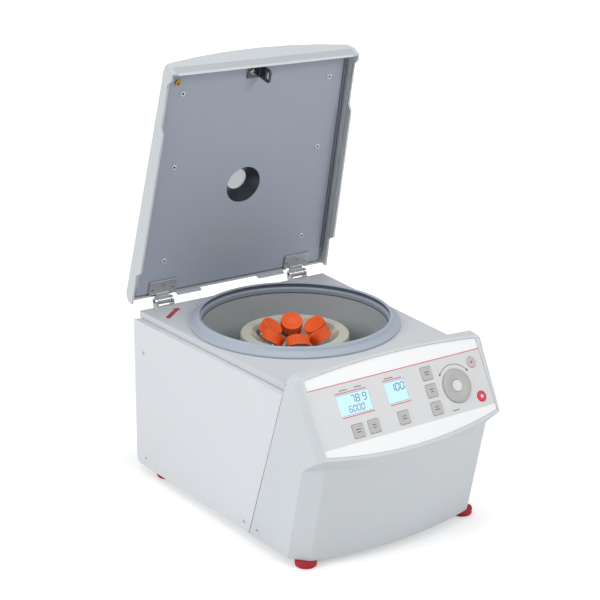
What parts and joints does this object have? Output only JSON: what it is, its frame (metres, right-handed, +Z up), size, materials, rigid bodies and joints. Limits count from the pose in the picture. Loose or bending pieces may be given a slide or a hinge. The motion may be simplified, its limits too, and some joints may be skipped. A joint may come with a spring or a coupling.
{
  "type": "bench centrifuge",
  "caption": "Bench centrifuge with a hinged lid standing open over a steel chamber, an angle rotor with capped tubes, and a slanted control console in front.",
  "frame": {"origin": "under the middle of the overall box with the lid open, at the height of the feet's soles", "axes": "+Z up, -Y towards the control console, +X to the right of someone facing the console"},
  "size_m": [0.2802, 0.3925, 0.502],
  "materials": {
    "casing_paint": "satin light grey paint",
    "deck_plastic": "fine matt moulded plastic",
    "console_plastic": "fine matt moulded plastic",
    "overlay_film": "printed satin film",
    "display_glass": "clear glossy window over a pale blue display",
    "board_green": "coated circuit board",
    "bowl_steel": "brushed stainless sheet",
    "seal_rubber": "matt blue-grey rubber",
    "motor_casting": "cast and turned",
    "bright_steel": "bright machined steel",
    "dark_plastic": "matt black plastic",
    "foot_rubber": "matt red rubber",
    "lid_plate_paint": "satin blue-grey paint",
    "port_window": "clear",
    "earth_brass": "plain brass",
    "rotor_ivory": "satin ivory coating",
    "tube_clear": "clear moulded plastic",
    "cap_orange": "satin orange plastic, ribbed",
    "key_film": "satin warm grey",
    "jog_cap_light": "satin light grey",
    "red_key": "satin red"
  },
  "bodies": {
    "casing": {"side_panel_left": "casing_paint", "side_panel_right": "casing_paint", "rear_panel": "casing_paint", "base_plate": "casing_paint", "deck_plate": "deck_plastic", "front_fascia": "console_plastic", "control_overlay": "overlay_film", "display_left": "display_glass", "display_right": "display_glass", "control_board": "board_green", "bowl": "bowl_steel", "chamber_seal": "seal_rubber", "drive_motor": "motor_casting", "motor_mount": "bright_steel", "power_inlet": "dark_plastic", "power_board": "board_green", "lock_unit": "dark_plastic", "hinge_bracket_left": "bright_steel", "hinge_bracket_right": "bright_steel", "hinge_pin_left": "bright_steel", "hinge_pin_right": "bright_steel", "foot_front_left": "foot_rubber", "foot_front_right": "foot_rubber", "foot_rear_left": "foot_rubber", "foot_rear_right": "foot_rubber"},
    "lid": {"lid_shell": "console_plastic", "lid_plate": "lid_plate_paint", "port_cup": "dark_plastic", "viewing_window": "port_window", "lock_striker": "bright_steel", "lid_leaf_left": "bright_steel", "lid_leaf_right": "bright_steel", "earth_screw": "earth_brass"},
    "rotor": {"drive_shaft": "bright_steel", "rotor": "rotor_ivory", "rotor_nut": "bright_steel", "tube_1": "tube_clear", "tube_2": "tube_clear", "tube_3": "tube_clear", "tube_4": "tube_clear", "tube_5": "tube_clear", "tube_6": "tube_clear", "cap_1": "cap_orange", "cap_2": "cap_orange", "cap_3": "cap_orange", "cap_4": "cap_orange", "cap_5": "cap_orange", "cap_6": "cap_orange"},
    "jog": {"jog_wheel": "key_film", "jog_cap": "jog_cap_light"},
    "key_left_outer": {"key_left_outer": "key_film"},
    "key_left_inner": {"key_left_inner": "key_film"},
    "key_middle": {"key_middle": "key_film"},
    "key_upper": {"key_upper": "key_film"},
    "key_centre": {"key_centre": "key_film"},
    "key_lower": {"key_lower": "key_film"},
    "round_key_grey": {"round_key_grey": "key_film"},
    "round_key_red": {"round_key_red": "red_key"},
    "rocker": {"mains_rocker": "dark_plastic"},
    "bolt": {"lock_bolt": "bright_steel"}
  },
  "joints": [
    {"name": "lid_hinge", "type": "hinge", "parent": "casing", "child": "lid", "pos_m": [0, 0.17021, 0.2035], "axis": [1, 0, 0], "range_deg": [0, 76]},
    {"name": "rotor_spin", "type": "hinge", "parent": "casing", "child": "rotor", "pos_m": [0, 0.03461, 0.1], "axis": [0, 0, 1], "continuous": true},
    {"name": "jog_turn", "type": "hinge", "parent": "casing", "child": "jog", "pos_m": [0.0708, -0.16941, 0.17236], "axis": [0, -0.8587, 0.5125], "continuous": true},
    {"name": "key_left_outer_press", "type": "slide", "parent": "casing", "child": "key_left_outer", "axis": [0, 0.8587, -0.5125], "range_m": [0, 0.0007], "stiffness_N_per_m": 1200, "springref_m": -0.0006},
    {"name": "key_left_inner_press", "type": "slide", "parent": "casing", "child": "key_left_inner", "axis": [0, 0.8587, -0.5125], "range_m": [0, 0.0007], "stiffness_N_per_m": 1200, "springref_m": -0.0006},
    {"name": "key_middle_press", "type": "slide", "parent": "casing", "child": "key_middle", "axis": [0, 0.8587, -0.5125], "range_m": [0, 0.0007], "stiffness_N_per_m": 1200, "springref_m": -0.0006},
    {"name": "key_upper_press", "type": "slide", "parent": "casing", "child": "key_upper", "axis": [0, 0.8587, -0.5125], "range_m": [0, 0.0007], "stiffness_N_per_m": 1200, "springref_m": -0.0006},
    {"name": "key_centre_press", "type": "slide", "parent": "casing", "child": "key_centre", "axis": [0, 0.8587, -0.5125], "range_m": [0, 0.0007], "stiffness_N_per_m": 1200, "springref_m": -0.0006},
    {"name": "key_lower_press", "type": "slide", "parent": "casing", "child": "key_lower", "axis": [0, 0.8587, -0.5125], "range_m": [0, 0.0007], "stiffness_N_per_m": 1200, "springref_m": -0.0006},
    {"name": "round_key_grey_press", "type": "slide", "parent": "casing", "child": "round_key_grey", "axis": [0, 0.8587, -0.5125], "range_m": [0, 0.0007], "stiffness_N_per_m": 1200, "springref_m": -0.0006},
    {"name": "round_key_red_press", "type": "slide", "parent": "casing", "child": "round_key_red", "axis": [0, 0.8587, -0.5125], "range_m": [0, 0.0007], "stiffness_N_per_m": 1200, "springref_m": -0.0006},
    {"name": "mains_rocker_tilt", "type": "hinge", "parent": "casing", "child": "rocker", "pos_m": [-0.064, 0.16621, 0.042], "axis": [1, 0, 0], "range_deg": [-16, 0]},
    {"name": "lock_bolt_slide", "type": "slide", "parent": "casing", "child": "bolt", "axis": [-1, 0, 0], "range_m": [0, 0.0095]}
  ]
}
